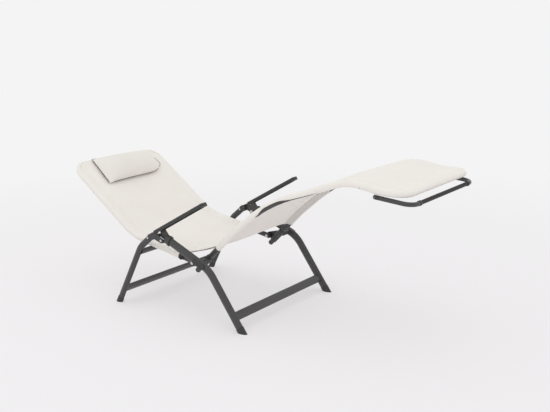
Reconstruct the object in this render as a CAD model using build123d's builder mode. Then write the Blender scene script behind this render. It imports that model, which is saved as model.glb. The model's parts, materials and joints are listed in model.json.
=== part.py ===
"""Folding sun lounger: two tube leg frames, a bent back and seat frame, a bent leg-rest frame
under one long sling, two armrests, a foot bar and a head pillow.

Millimetres. +X points to the foot end, +Y to the sitter's left, +Z up. The floor is z = 0.
A point of the side view is a pair (x, z).
"""

import os
from math import asin, atan2, cos, degrees, hypot, radians, sin

from build123d import *

# Fits
seat_gap = 0.3
running_gap = 0.05
spigot_gap = 0.1
overrun = 6
dome_share = 0.45
plug_round_share = 0.9
quarter_turn = 90
half_turn = 2 * quarter_turn
full_turn = 2 * half_turn

# The leg frames in the side view: slopes are to the floor, lengths run along the tubes
front_foot_x = 142.8
leg_spread = 610
front_lower_slope = 54.4
front_knee_height = 223.6
front_upper_slope = 23.3
front_upper_length = 230
front_bend_radius = 135
rest_pivot_from_knee = 47
hinge_from_knee = 248
hinge_below = 18
rear_top_back = 64
rear_top_up = 2
rear_upper_slope = 41
rear_upper_length = 75
rear_lower_slope = 63.1
rear_bend_radius = 90

# Leg tubes and stretchers
leg_wall = 1.5
front_leg_depth = 34
front_leg_width = 20
rear_leg_depth = 27
rear_leg_width = 17
front_stretcher_depth = 35
front_stretcher_width = 17
front_stretcher_height = 56
rear_stretcher_width = 16
lower_stretcher_depth = 38
lower_stretcher_height = 62
upper_stretcher_depth = 27
upper_stretcher_height = 239
upper_stretcher_ahead = 12
stretcher_wall = 1.2

# Feet
foot_wall = 1.2
foot_height = 24
foot_sole = 16
foot_rim = 0.6
foot_plug = 30

# Leg heads, knuckles and their fasteners
head_wall = 3
head_length = 24
head_overhang = 2
collar_length = 9
collar_wall = 2
layer_gap = 0.3
web_thickness = 11
web_hinge_radius = 13
web_socket_radius = 11
web_seat_radius = 6
web_fill_radius = 7
web_fill_back = 16
web_fill_up = 18
hex_sides = 6
knuckle_hinge_radius = 11
knuckle_crest_radius = 14
crest_back = 38
crest_up = 15
knuckle_block_radius = 12
knuckle_rib = 4
knuckle_pocket_depth = 2.5
pocket_end_share = 0.45
spigot_length = 30
hinge_bolt_radius = 4
hinge_head_radius = 5.5
hinge_head_height = 3
hinge_nut_size = 13
hinge_nut_height = 5
stop_length = 22
stop_thickness = 3
stop_depth = 8
rivet_radius = 2.5
rivet_head_radius = 4.5
rivet_head_height = 1.8
rivet_back = 7
rivet_up = 4

# Armrests
armrest_slope = 30.2
armrest_length = 289
armrest_width = 38
armrest_thickness = 15
armrest_out = 5
armrest_wall = 2.5
armrest_top_fillet = 6
armrest_pin_from_end = 10
armrest_pin_back = 15
armrest_pin_up = 38
armrest_seat_from_end = 27
armrest_pin_radius = 2.5
armrest_cap_length = 16
armrest_cap_corner = 14
armrest_cap_round = 7
armrest_plate = 3
armrest_tongue = 12
web_slot_gap = 1.5

# Back and seat frame
rail_spread = 500
rail_radius = 11
rail_wall = 1.5
seat_pivot_back = 72
seat_pivot_drop = 20
seat_slope = 10.6
seat_length = 335
back_slope = 36.7
back_length = 424
seat_bend_radius = 250
head_corner_radius = 60
corner_straight = 20
rail_lip = 6
crossbar_spigot = 18
seat_stop_from_pivot = 60
seat_stop_radius = 8
seat_stop_height = 8

# Leg-rest frame
tip_back = 55.7
tip_drop = 49.6
thigh_lower_slope = 45.5
thigh_lower_length = 231
thigh_upper_slope = 40.8
thigh_upper_length = 220
calf_slope = 20.15
calf_length = 368
heel_slope = 9.2
heel_length = 127.6
toe_length = 97
thigh_bend_radius = 300
rest_knee_radius = 700
rest_crest_radius = 210
rest_heel_radius = 380
foot_corner_radius = 45
knob_length = 7
knob_plug = 14

# Leg-rest brackets and pivots
bracket_thickness = 6
bracket_wall = 3
bracket_socket_start = 19
bracket_socket_length = 70
bracket_boss_radius = 14
rest_pin_radius = 5
pivot_hub_radius = 13
pad_length = 62
pad_depth = 26
pad_thickness = 3
seat_bolt_radius = 4
seat_bolt_head_radius = 7
seat_bolt_head_height = 3

# Foot bar
bar_radius = 8
bar_wall = 1.2
bar_pivot_back = 18
bar_pivot_drop = 21
bar_slope = 5
bar_swing = 95
bar_reach = 140
bar_corner_radius = 38
bar_corner_straight = 8
bar_grip_radius = 7.5
bar_collar_radius = 9.5
bar_collar_length = 10
fork_length = 18
fork_plug = 14
fork_slot = 3.6
lug_thickness = 3
lug_radius = 5.5
lug_width = 11
bar_pin_radius = 2

# Sling and pillow
sleeve_wall = 1.8
cloth_thickness = 1.6
cloth_height = 12.2
hem_lead = 4
seat_sleeve_from_pivot = 76
rest_sleeve_from_tip = 147
flap_clearance = 1
flap_knee_drop = 7
flap_knee_share = 0.4
flap_split_share = 0.3
flap_gap = 5
knee_cut_before = 68
knee_cut_after = 150
knee_cut_peak_share = 0.36
knee_cut_rise = 14
lug_slot_gap = 1
pillow_length = 152
pillow_width = 348
pillow_off_middle = 13
pillow_crown = 50
pillow_edge = 9
pillow_from_head = 72
pillow_waist = 7


def walk(start, angle, length):
    """The side-view point reached from start by going length at angle."""
    return (start[0] + length * cos(radians(angle)), start[1] + length * sin(radians(angle)))


def between(start, end, share):
    """The side-view point that lies share of the way from start to end."""
    return (start[0] + share * (end[0] - start[0]), start[1] + share * (end[1] - start[1]))


def at(point, y):
    """A side-view point as a point in space."""
    return (point[0], y, point[1])


def side_view(side, inner, outer):
    """The plane from which an extrusion of outer - inner fills that span on one side."""
    return Plane.XZ.offset(-outer if side > 0 else inner)


def across(point, angle, y):
    """The plane square to a tube that passes point at angle, with its x along Y."""
    direction = (cos(radians(angle)), 0, sin(radians(angle)))
    return Plane(origin=at(point, y), x_dir=(0, 1, 0), z_dir=direction)


# Key points of the side view
up_front = half_turn - front_lower_slope
back_front = half_turn - front_upper_slope
front_foot = (front_foot_x, 0)
front_knee = walk(front_foot, up_front, front_knee_height / sin(radians(front_lower_slope)))
front_top = walk(front_knee, back_front, front_upper_length)
rest_pivot = walk(front_knee, back_front, rest_pivot_from_knee)
leg_hinge = walk(walk(front_knee, back_front, hinge_from_knee), back_front + quarter_turn, hinge_below)
rear_top = (leg_hinge[0] - rear_top_back, leg_hinge[1] + rear_top_up)
rear_knee = walk(rear_top, half_turn + rear_upper_slope, rear_upper_length)
rear_lower_length = rear_knee[1] / sin(radians(rear_lower_slope))
rear_foot = walk(rear_knee, half_turn + rear_lower_slope, rear_lower_length)
rivet_root = walk(rear_top, half_turn + rear_upper_slope, rivet_back)
rivet_place = walk(rivet_root, quarter_turn + rear_upper_slope, rivet_up)
crest = (leg_hinge[0] - crest_back, leg_hinge[1] + crest_up)
knuckle_taper = asin((knuckle_crest_radius - knuckle_hinge_radius) / hypot(crest_back, crest_up))
knuckle_top_angle = half_turn - degrees(atan2(crest_up, crest_back) + knuckle_taper)
arm_pin = (leg_hinge[0] - armrest_pin_back, leg_hinge[1] + armrest_pin_up)
arm_end = walk(arm_pin, half_turn + armrest_slope, armrest_pin_from_end)

seat_pivot = (rest_pivot[0] - seat_pivot_back, rest_pivot[1] - seat_pivot_drop)
up_seat = half_turn - seat_slope
up_back = half_turn - back_slope
seat_corner = walk(seat_pivot, up_seat, seat_length)
head_corner = walk(seat_corner, up_back, back_length)
rail_tip = (rest_pivot[0] - tip_back, rest_pivot[1] - tip_drop)
thigh_bend = walk(rail_tip, thigh_lower_slope, thigh_lower_length)
rest_knee = walk(thigh_bend, thigh_upper_slope, thigh_upper_length)
rest_crest = walk(rest_knee, calf_slope, calf_length)
rest_heel = walk(rest_crest, -heel_slope, heel_length)
foot_corner = walk(rest_heel, 0, toe_length)
bar_pivot = (rest_heel[0] - bar_pivot_back, rest_heel[1] - bar_pivot_drop)
bar_corner = walk(bar_pivot, -bar_slope, bar_reach)

# Layers across the lounger, as distances from its middle plane
leg_side = leg_spread / 2
rail_side = rail_spread / 2
arm_side = leg_side + armrest_out
web_outer = leg_side
web_inner = web_outer - web_thickness
plate_inner = web_outer + layer_gap
knuckle_outer = leg_side + rear_leg_width / 2
knuckle_inner = leg_side - rear_leg_width / 2
bracket_inner = rail_side + rail_radius + seat_gap
bracket_outer = bracket_inner + bracket_thickness
hub_outer = leg_side - front_leg_width / 2 - seat_gap
sleeve_inner_radius = rail_radius + seat_gap
sleeve_radius = sleeve_inner_radius + sleeve_wall
bar_grip_half = rail_side - bar_corner_radius - bar_corner_straight
flap_half_width = rail_side - rail_radius - bracket_wall - flap_clearance


def oval_tube(points, radius, plane, half_width, half_depth, wall):
    """An oval tube along points, bent to radius; it is solid where wall is zero."""
    with BuildPart() as tube:
        with BuildLine():
            FilletPolyline(*points, radius=radius)
        with BuildSketch(plane):
            Ellipse(half_width, half_depth)
            if wall:
                Ellipse(half_width - wall, half_depth - wall, mode=Mode.SUBTRACT)
        sweep()
    return tube.part


def round_tube(points, radii, plane, radius, wall):
    """A round tube along points, bent to radii; it is solid where wall is zero."""
    with BuildPart() as tube:
        with BuildLine():
            FilletPolyline(*points, radius=radii)
        with BuildSketch(plane):
            Circle(radius)
            if wall:
                Circle(radius - wall, mode=Mode.SUBTRACT)
        sweep()
    return tube.part


def hull_round(rounds, edge=()):
    """Sketch the tight outline round some circles and, if given, one straight edge."""
    with BuildLine(mode=Mode.PRIVATE) as lines:
        for centre, radius in rounds:
            CenterArc(centre, radius, 0, full_turn)
        if edge:
            Line(*edge)
    make_hull(lines.edges())


def disc(side, place, radius, inner, outer):
    """A plain round bar across one side, from inner to outer."""
    with BuildPart() as bar:
        with BuildSketch(side_view(side, inner, outer)):
            with Locations(place):
                Circle(radius)
        extrude(amount=outer - inner)
    return bar.part


def domed_disc(side, place, radius, inner, outer, domed_outside=True):
    """A round head whose outer or inner rim is rounded."""
    with BuildPart() as head:
        add(disc(side, place, radius, inner, outer))
        far_first = side > 0 if domed_outside else side < 0
        face = head.faces().filter_by(GeomType.PLANE).sort_by(Axis.Y)[-1 if far_first else 0]
        fillet(face.edges(), (outer - inner) * dome_share)
    return head.part


# Front leg frame
def front_leg_body(side, wall):
    """The front leg tube, or its full outline where wall is zero."""
    y = side * leg_side
    start = walk(front_foot, up_front, foot_sole)
    points = (at(start, y), at(front_knee, y), at(front_top, y))
    plane = across(start, up_front, y)
    return oval_tube(points, front_bend_radius, plane, front_leg_width / 2, front_leg_depth / 2, wall)


def front_leg(side):
    """Oval tube from the foot over the knee to the leg head, bored for the leg-rest pin."""
    with BuildPart() as leg:
        add(front_leg_body(side, leg_wall))
        inner = leg_side - front_leg_width
        outer = leg_side + front_leg_width
        add(disc(side, rest_pivot, rest_pin_radius, inner, outer), mode=Mode.SUBTRACT)
    return leg.part


def foot_cap(side, floor_point, angle, depth, width):
    """Moulded foot round the end of a leg, plugged into its tube and cut level with the floor."""
    y = side * leg_side
    base = across(floor_point, angle, y)
    inset = leg_wall + spigot_gap
    with BuildPart() as foot:
        with BuildSketch(base.offset(-depth)):
            Ellipse(width / 2 + foot_wall, depth / 2 + foot_wall)
        extrude(amount=depth + foot_height)
        chamfer(foot.faces().sort_by(Axis.Z)[-1].edges(), foot_rim)
        with BuildSketch(base.offset(foot_sole)):
            Ellipse(width / 2, depth / 2)
        extrude(amount=foot_height, mode=Mode.SUBTRACT)
        with BuildSketch(base.offset(foot_sole)):
            Ellipse(width / 2 - inset, depth / 2 - inset)
        extrude(amount=foot_plug)
        split(bisect_by=Plane.XY, keep=Keep.TOP)
    return foot.part


def stretcher(point, angle, depth, width, leg_outlines):
    """Flat oval tube between the two legs, its ends coped to the leg tubes."""
    along = (cos(radians(angle)), 0, sin(radians(angle)))
    middle = Plane(origin=at(point, 0), x_dir=along, z_dir=(0, 1, 0))
    with BuildPart() as bar:
        with BuildSketch(middle):
            Ellipse(depth / 2, width / 2)
            Ellipse(depth / 2 - stretcher_wall, width / 2 - stretcher_wall, mode=Mode.SUBTRACT)
        extrude(amount=leg_side, both=True)
        for outline in leg_outlines:
            add(outline, mode=Mode.SUBTRACT)
    return Part() + bar.part.solids().sort_by(SortBy.VOLUME)[-1]


def leg_head(side):
    """Cast end of the front leg: collar, socket, hinge web and the lug that holds the armrest."""
    mouth = walk(front_top, back_front + half_turn, head_length - head_overhang)
    axis = across(mouth, back_front, side * leg_side)
    roof = armrest_thickness / 2 - armrest_wall - seat_gap
    seat_along = walk(arm_end, armrest_slope, armrest_seat_from_end)
    seat = walk(seat_along, armrest_slope + quarter_turn, roof - web_seat_radius)
    seat_round = (seat, web_seat_radius)
    socket_round = (front_top, web_socket_radius)
    fill = (leg_hinge[0] - web_fill_back, leg_hinge[1] + web_fill_up)
    with BuildPart() as head:
        with BuildSketch(axis):
            Ellipse(front_leg_width / 2 + head_wall, front_leg_depth / 2 + head_wall)
        extrude(amount=head_length)
        with BuildSketch(axis):
            Ellipse(
                front_leg_width / 2 + head_wall + collar_wall,
                front_leg_depth / 2 + head_wall + collar_wall,
            )
        extrude(amount=collar_length)
        with BuildSketch(side_view(side, web_inner, web_outer)):
            hull_round([(leg_hinge, web_hinge_radius), socket_round, seat_round])
            hull_round([(leg_hinge, web_hinge_radius), (fill, web_fill_radius)])
            hull_round([seat_round, (arm_pin, roof)])
        extrude(amount=web_thickness)
        add(front_leg_body(side, 0), mode=Mode.SUBTRACT)
        low = web_inner - overrun
        high = web_outer + overrun
        add(disc(side, leg_hinge, hinge_bolt_radius, low, high), mode=Mode.SUBTRACT)
        add(disc(side, arm_pin, armrest_pin_radius, low, high), mode=Mode.SUBTRACT)
    return head.part


def hinge_bolt(side):
    """Bolt through the web and the knuckle, dome head outside and hexagon nut inside."""
    head_start = knuckle_outer + seat_gap
    head_end = head_start + hinge_head_height
    with BuildPart() as bolt:
        add(disc(side, leg_hinge, hinge_bolt_radius, web_inner - hinge_nut_height, head_start))
        add(domed_disc(side, leg_hinge, hinge_head_radius, head_start, head_end))
        with BuildSketch(side_view(side, web_inner - hinge_nut_height, web_inner)):
            with Locations(leg_hinge):
                RegularPolygon(hinge_nut_size / 2, hex_sides, major_radius=False)
        extrude(amount=hinge_nut_height)
    return bolt.part


def leg_stop(side):
    """Bright steel tab on the leg head that the knuckle meets when the legs are open."""
    lift = knuckle_hinge_radius + seat_gap + stop_thickness / 2
    middle = walk(leg_hinge, knuckle_top_angle - quarter_turn, lift)
    with BuildPart() as tab:
        with BuildSketch(side_view(side, web_outer, web_outer + stop_depth)):
            with Locations(Location((middle[0], middle[1], 0), (0, 0, knuckle_top_angle))):
                SlotOverall(stop_length, stop_thickness)
        extrude(amount=stop_depth)
    return tab.part


def leg_pad(side):
    """Flat moulded pad on the outside of the front leg, over the leg-rest pin."""
    leg_face = leg_side + front_leg_width / 2
    outer = leg_face + pad_thickness
    with BuildPart() as pad:
        with BuildSketch(side_view(side, leg_side, outer)):
            with Locations(Location((rest_pivot[0], rest_pivot[1], 0), (0, 0, back_front))):
                SlotOverall(pad_length, pad_depth)
        extrude(amount=outer - leg_side)
        add(front_leg_body(side, 0), mode=Mode.SUBTRACT)
        add(disc(side, rest_pivot, rest_pin_radius, leg_side, leg_face), mode=Mode.SUBTRACT)
    return Part() + pad.part.solids().sort_by(SortBy.VOLUME)[-1]


def rest_pin(side):
    """Steel pin fixed in the front leg, on which the leg-rest bracket turns."""
    return disc(side, rest_pivot, rest_pin_radius, bracket_inner, leg_side + front_leg_width / 2)


# Rear leg frame
def rear_leg_body(side, wall):
    """The rear leg tube, or its full outline where wall is zero."""
    y = side * leg_side
    start = walk(rear_foot, rear_lower_slope, foot_sole)
    points = (at(start, y), at(rear_knee, y), at(rear_top, y))
    plane = across(start, rear_lower_slope, y)
    return oval_tube(points, rear_bend_radius, plane, rear_leg_width / 2, rear_leg_depth / 2, wall)


def rear_leg(side):
    """Oval tube from the foot over the bend to the knuckle, bored for the rivet."""
    with BuildPart() as leg:
        add(rear_leg_body(side, leg_wall))
        inner = leg_side - rear_leg_width
        outer = leg_side + rear_leg_width
        add(disc(side, rivet_place, rivet_radius, inner, outer), mode=Mode.SUBTRACT)
    return leg.part


def knuckle(side):
    """Cast arm from the rear leg over the hinge: a spigot in the tube, a thick root, a plate."""
    root_edge = (
        walk(rear_top, rear_upper_slope - quarter_turn, rear_leg_depth / 2),
        walk(rear_top, rear_upper_slope + quarter_turn, rear_leg_depth / 2),
    )
    crest_round = (crest, knuckle_crest_radius)
    block_round = (walk(rear_top, rear_upper_slope, knuckle_block_radius), knuckle_block_radius)
    pocket_radius = knuckle_crest_radius - knuckle_rib
    pocket_end = between(leg_hinge, crest, pocket_end_share)
    with BuildPart() as arm:
        with BuildSketch(side_view(side, plate_inner, knuckle_outer)):
            hull_round([crest_round], root_edge)
            hull_round([crest_round, (leg_hinge, knuckle_hinge_radius)])
        extrude(amount=knuckle_outer - plate_inner)
        with BuildSketch(side_view(side, knuckle_inner, plate_inner)):
            hull_round([block_round], root_edge)
        extrude(amount=plate_inner - knuckle_inner)
        with BuildSketch(across(rear_top, half_turn + rear_upper_slope, side * leg_side)):
            Ellipse(
                rear_leg_width / 2 - leg_wall - spigot_gap,
                rear_leg_depth / 2 - leg_wall - spigot_gap,
            )
        extrude(amount=spigot_length)
        with BuildSketch(side_view(side, plate_inner, plate_inner + knuckle_pocket_depth)):
            hull_round([(pocket_end, pocket_radius / 2), (crest, pocket_radius)])
        extrude(amount=knuckle_pocket_depth, mode=Mode.SUBTRACT)
        low = knuckle_inner - overrun
        high = knuckle_outer + overrun
        hole = hinge_bolt_radius + running_gap
        add(disc(side, leg_hinge, hole, low, high), mode=Mode.SUBTRACT)
        add(disc(side, rivet_place, rivet_radius, low, high), mode=Mode.SUBTRACT)
    return arm.part


def knuckle_rivet(side):
    """Rivet through the rear leg and the knuckle's spigot."""
    inner = knuckle_inner
    outer = knuckle_outer
    with BuildPart() as pin:
        add(disc(side, rivet_place, rivet_radius, inner, outer))
        add(domed_disc(side, rivet_place, rivet_head_radius, outer, outer + rivet_head_height))
        low = inner - rivet_head_height
        add(domed_disc(side, rivet_place, rivet_head_radius, low, inner, domed_outside=False))
    return pin.part


# Armrests
def arm_section(side):
    """The plane square to the armrest at its rear end, with local y up out of the armrest."""
    return across(arm_end, armrest_slope, side * arm_side)


def armrest_outline():
    """Sketch the armrest's section: flat below, crowned edges above."""
    with BuildSketch(mode=Mode.PRIVATE) as section:
        Rectangle(armrest_width, armrest_thickness)
        fillet(section.vertices().group_by(Axis.Y)[-1], armrest_top_fillet)
        fillet(section.vertices().group_by(Axis.Y)[0], armrest_wall)
    return section.sketch


def armrest(side):
    """Straight channel, open below, with bores for the hinge pin near its rear end."""
    channel_length = armrest_length - armrest_cap_length - armrest_plate
    with BuildPart() as arm:
        with BuildSketch(arm_section(side).offset(armrest_plate)):
            add(armrest_outline())
            with Locations((0, -armrest_wall)):
                Rectangle(armrest_width - 2 * armrest_wall, armrest_thickness, mode=Mode.SUBTRACT)
        extrude(amount=channel_length)
        inner = arm_side - armrest_width
        outer = arm_side + armrest_width
        hole = armrest_pin_radius + running_gap
        add(disc(side, arm_pin, hole, inner, outer), mode=Mode.SUBTRACT)
    return arm.part


def armrest_front_cap(side):
    """Rounded end of the armrest, with a tongue that plugs into the channel."""
    start = armrest_length - armrest_cap_length
    tip = walk(arm_end, armrest_slope, armrest_length)
    direction = (cos(radians(armrest_slope)), 0, sin(radians(armrest_slope)))
    plan = Plane(origin=at(tip, side * arm_side), x_dir=direction, z_dir=up_normal(armrest_slope))
    profile = Plane(origin=at(tip, side * arm_side), x_dir=direction, z_dir=(0, 1, 0))
    with BuildPart() as cap:
        with BuildSketch(arm_section(side).offset(start)):
            add(armrest_outline())
        extrude(amount=armrest_cap_length)
        for view, height, corner in (
            (plan, armrest_width, armrest_cap_corner),
            (profile, armrest_thickness, armrest_cap_round),
        ):
            with BuildSketch(view):
                with Locations((-armrest_width, 0)):
                    RectangleRounded(2 * armrest_width, height, corner)
            extrude(amount=armrest_width, both=True, mode=Mode.INTERSECT)
        with BuildSketch(arm_section(side).offset(start)):
            Rectangle(
                armrest_width - 2 * armrest_wall - 2 * spigot_gap,
                armrest_thickness - 2 * armrest_wall - 2 * spigot_gap,
            )
        extrude(amount=-armrest_tongue)
    return cap.part


def armrest_rear_cap(side):
    """Thin plate at the rear end of the armrest, slotted for the lug of the leg head."""
    slot_middle = side * ((web_inner + web_outer) / 2 - arm_side)
    with BuildPart() as cap:
        with BuildSketch(arm_section(side)):
            add(armrest_outline())
            with Locations((slot_middle, armrest_thickness / 2 - armrest_wall)):
                Rectangle(
                    web_thickness + 2 * web_slot_gap,
                    armrest_thickness,
                    align=(Align.CENTER, Align.MAX),
                    mode=Mode.SUBTRACT,
                )
        extrude(amount=armrest_plate)
    return cap.part


def armrest_pin(side):
    """Pin across the armrest and the lug of the leg head."""
    inner = arm_side - armrest_width / 2 + armrest_wall / 2
    outer = arm_side + armrest_width / 2 - armrest_wall / 2
    return disc(side, arm_pin, armrest_pin_radius, inner, outer)


# Back and seat frame
seat_front = walk(seat_pivot, -seat_slope, rail_lip)


def back_rail(side):
    """Seat and back rail in one bent tube, round the corner to the head crossbar."""
    y = side * rail_side
    end_y = side * (rail_side - head_corner_radius - corner_straight)
    points = (at(seat_front, y), at(seat_corner, y), at(head_corner, y), at(head_corner, end_y))
    with BuildPart() as rail:
        start = across(seat_front, up_seat, y)
        bends = (seat_bend_radius, head_corner_radius)
        add(round_tube(points, bends, start, rail_radius, rail_wall))
        hole = seat_bolt_radius + running_gap
        inner = rail_side - 2 * rail_radius
        outer = rail_side + 2 * rail_radius
        add(disc(side, seat_pivot, hole, inner, outer), mode=Mode.SUBTRACT)
    return rail.part


def crossbar(corner, corner_radius):
    """Straight tube between the two corners, drawn down at its ends to fit inside them."""
    half = rail_side - corner_radius - corner_straight
    spigot = rail_radius - rail_wall - spigot_gap
    middle = Plane(origin=at(corner, 0), x_dir=(1, 0, 0), z_dir=(0, 1, 0))
    with BuildPart() as bar:
        with BuildSketch(middle):
            Circle(rail_radius)
        extrude(amount=half, both=True)
        with BuildSketch(middle):
            Circle(spigot)
        extrude(amount=half + crossbar_spigot, both=True)
        with BuildSketch(middle):
            Circle(spigot - rail_wall)
        extrude(amount=half + crossbar_spigot, both=True, mode=Mode.SUBTRACT)
    return bar.part


def seat_rail_plug(side):
    """Rounded plug in the open front end of the seat rail, round the bolt."""
    y = side * rail_side
    bore = rail_radius - rail_wall - spigot_gap
    with BuildPart() as plug:
        with BuildSketch(across(seat_front, -seat_slope, y)):
            Circle(rail_radius)
        extrude(amount=rail_lip)
        fillet(plug.faces().sort_by(Axis.X)[-1].edges(), rail_lip * plug_round_share)
        with BuildSketch(across(seat_front, up_seat, y)):
            Circle(bore)
        extrude(amount=2 * rail_lip + 2 * seat_bolt_radius)
        hole = seat_bolt_radius + running_gap
        inner = rail_side - 2 * rail_radius
        outer = rail_side + 2 * rail_radius
        add(disc(side, seat_pivot, hole, inner, outer), mode=Mode.SUBTRACT)
    return plug.part


def seat_stop(side):
    """Round rubber stop on the outer side of the seat rail, coped to the tube."""
    y = side * rail_side
    place = walk(seat_pivot, up_seat, seat_stop_from_pivot)
    tube_outer = rail_side + rail_radius
    with BuildPart() as stop:
        add(disc(side, place, seat_stop_radius, rail_side, tube_outer))
        add(domed_disc(side, place, seat_stop_radius, tube_outer, tube_outer + seat_stop_height))
        with BuildSketch(across(seat_corner, -seat_slope, y)):
            Circle(rail_radius)
        extrude(amount=seat_length, mode=Mode.SUBTRACT)
    return stop.part


# Leg-rest frame
def leg_rail(side):
    """Bent tube of the leg rest, from its lower tip over the knee to the foot end's corner."""
    y = side * rail_side
    end_y = side * (rail_side - foot_corner_radius - corner_straight)
    bends = (rail_tip, thigh_bend, rest_knee, rest_crest, rest_heel, foot_corner)
    points = [at(point, y) for point in bends] + [at(foot_corner, end_y)]
    radii = (
        thigh_bend_radius,
        rest_knee_radius,
        rest_crest_radius,
        rest_heel_radius,
        foot_corner_radius,
    )
    start = across(rail_tip, thigh_lower_slope, y)
    return round_tube(points, radii, start, rail_radius, rail_wall)


def rail_knob(side):
    """Rounded plastic plug in the lower tip of the leg-rest rail."""
    y = side * rail_side
    with BuildPart() as knob:
        with BuildSketch(across(rail_tip, thigh_lower_slope + half_turn, y)):
            Circle(rail_radius)
        extrude(amount=knob_length)
        fillet(knob.faces().sort_by(Axis.Z)[0].edges(), knob_length * plug_round_share)
        with BuildSketch(across(rail_tip, thigh_lower_slope, y)):
            Circle(rail_radius - rail_wall - spigot_gap)
        extrude(amount=knob_plug)
    return knob.part


def rest_bracket(side):
    """Cast bracket: a socket round the rail, an arm to the seat bolt and a hub for the leg pin."""
    y = side * rail_side
    socket_radius = rail_radius + bracket_wall
    mouth = walk(rail_tip, thigh_lower_slope, bracket_socket_start)
    end_round = (walk(mouth, thigh_lower_slope, bracket_socket_length - rail_radius), rail_radius)
    pivot_round = (rest_pivot, pivot_hub_radius)
    bolt_round = (seat_pivot, bracket_boss_radius)
    far = hub_outer + overrun
    with BuildPart() as bracket:
        with BuildSketch(side_view(side, bracket_inner, bracket_outer)):
            hull_round([bolt_round, pivot_round])
            hull_round([pivot_round, end_round])
        extrude(amount=bracket_thickness)
        with BuildSketch(across(mouth, thigh_lower_slope, y)):
            Circle(socket_radius)
        extrude(amount=bracket_socket_length)
        with BuildSketch(across(mouth, thigh_lower_slope, y)):
            Circle(rail_radius)
        extrude(amount=bracket_socket_length, both=True, mode=Mode.SUBTRACT)
        add(disc(side, rest_pivot, pivot_hub_radius, bracket_inner, hub_outer))
        hole = rest_pin_radius + running_gap
        add(disc(side, rest_pivot, hole, bracket_inner, far), mode=Mode.SUBTRACT)
        hole = seat_bolt_radius
        add(disc(side, seat_pivot, hole, bracket_inner - overrun, far), mode=Mode.SUBTRACT)
    return bracket.part


def seat_bolt(side):
    """Bolt through the bracket and the seat rail, with a dome head at each end."""
    inner = rail_side - rail_radius - seat_gap
    low = inner - seat_bolt_head_height
    high = bracket_outer + seat_bolt_head_height
    with BuildPart() as bolt:
        add(disc(side, seat_pivot, seat_bolt_radius, inner, bracket_outer))
        add(domed_disc(side, seat_pivot, seat_bolt_head_radius, bracket_outer, high))
        add(domed_disc(side, seat_pivot, seat_bolt_head_radius, low, inner, domed_outside=False))
    return bolt.part


def bar_lug(side):
    """Flat lug under the leg-rest rail that carries the foot bar, coped to the tube."""
    inner = rail_side - lug_thickness / 2
    outer = rail_side + lug_thickness / 2
    with BuildPart() as lug:
        with BuildSketch(side_view(side, inner, outer)):
            with Locations(bar_pivot):
                Circle(lug_radius)
                Rectangle(lug_width, bar_pivot_drop, align=(Align.CENTER, Align.MIN))
        extrude(amount=lug_thickness)
        add(leg_rail_outline(side), mode=Mode.SUBTRACT)
        add(disc(side, bar_pivot, bar_pin_radius, inner, outer), mode=Mode.SUBTRACT)
    return Part() + lug.part.solids().sort_by(Axis.Z)[0]


def leg_rail_outline(side):
    """The full outline of the leg-rest rail at the lug."""
    y = side * rail_side
    points = [at(point, y) for point in (rest_crest, rest_heel, foot_corner)]
    start = across(rest_crest, -heel_slope, y)
    return round_tube(points, (rest_heel_radius,), start, rail_radius, 0)


# Foot bar
def foot_bar_arm(side):
    """Bent tube from the fork to the grip."""
    y = side * rail_side
    start = walk(bar_pivot, -bar_slope, fork_length)
    points = (at(start, y), at(bar_corner, y), at(bar_corner, side * bar_grip_half))
    plane = across(start, -bar_slope, y)
    return round_tube(points, (bar_corner_radius,), plane, bar_radius, bar_wall)


def foot_bar_fork(side):
    """Rounded plastic end of the foot bar, slotted for the lug and plugged into the arm."""
    y = side * rail_side
    seam = walk(bar_pivot, -bar_slope, fork_length)
    with BuildPart() as fork:
        with BuildSketch(across(bar_pivot, -bar_slope, y)):
            Circle(bar_radius)
        extrude(amount=fork_length)
        with Locations(at(bar_pivot, y)):
            Sphere(bar_radius)
        with BuildSketch(across(seam, -bar_slope, y)):
            Circle(bar_radius - bar_wall - spigot_gap)
        extrude(amount=fork_plug)
        slot_inner = rail_side - fork_slot / 2
        slot_outer = rail_side + fork_slot / 2
        with BuildSketch(side_view(side, slot_inner, slot_outer)):
            with Locations(bar_pivot):
                Circle(lug_radius + lug_slot_gap)
            for turn in (0, bar_swing / 2, bar_swing):
                with Locations(Location((bar_pivot[0], bar_pivot[1], 0), (0, 0, turn))):
                    Rectangle(
                        2 * (lug_radius + lug_slot_gap),
                        2 * bar_radius,
                        align=(Align.CENTER, Align.MIN),
                    )
        extrude(amount=fork_slot, mode=Mode.SUBTRACT)
        inner = rail_side - 2 * bar_radius
        outer = rail_side + 2 * bar_radius
        add(disc(side, bar_pivot, bar_pin_radius, inner, outer), mode=Mode.SUBTRACT)
    return fork.part


def foot_bar_pin(side):
    """Pin across the fork and the lug."""
    half = bar_radius - bar_wall
    return disc(side, bar_pivot, bar_pin_radius, rail_side - half, rail_side + half)


def foot_bar_grip():
    """Straight grip tube between the two corners."""
    middle = Plane(origin=at(bar_corner, 0), x_dir=(1, 0, 0), z_dir=(0, 1, 0))
    with BuildPart() as grip:
        with BuildSketch(middle):
            Circle(bar_grip_radius)
            Circle(bar_grip_radius - bar_wall, mode=Mode.SUBTRACT)
        extrude(amount=bar_grip_half, both=True)
    return grip.part


def foot_bar_collar(side):
    """Collar over the joint of the corner and the grip."""
    start = at(bar_corner, side * (bar_grip_half - bar_collar_length))
    with BuildPart() as collar:
        with BuildSketch(Plane(origin=start, x_dir=(1, 0, 0), z_dir=(0, side, 0))):
            Circle(bar_collar_radius)
            Circle(bar_grip_radius, mode=Mode.SUBTRACT)
        extrude(amount=bar_collar_length)
    return collar.part


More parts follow.
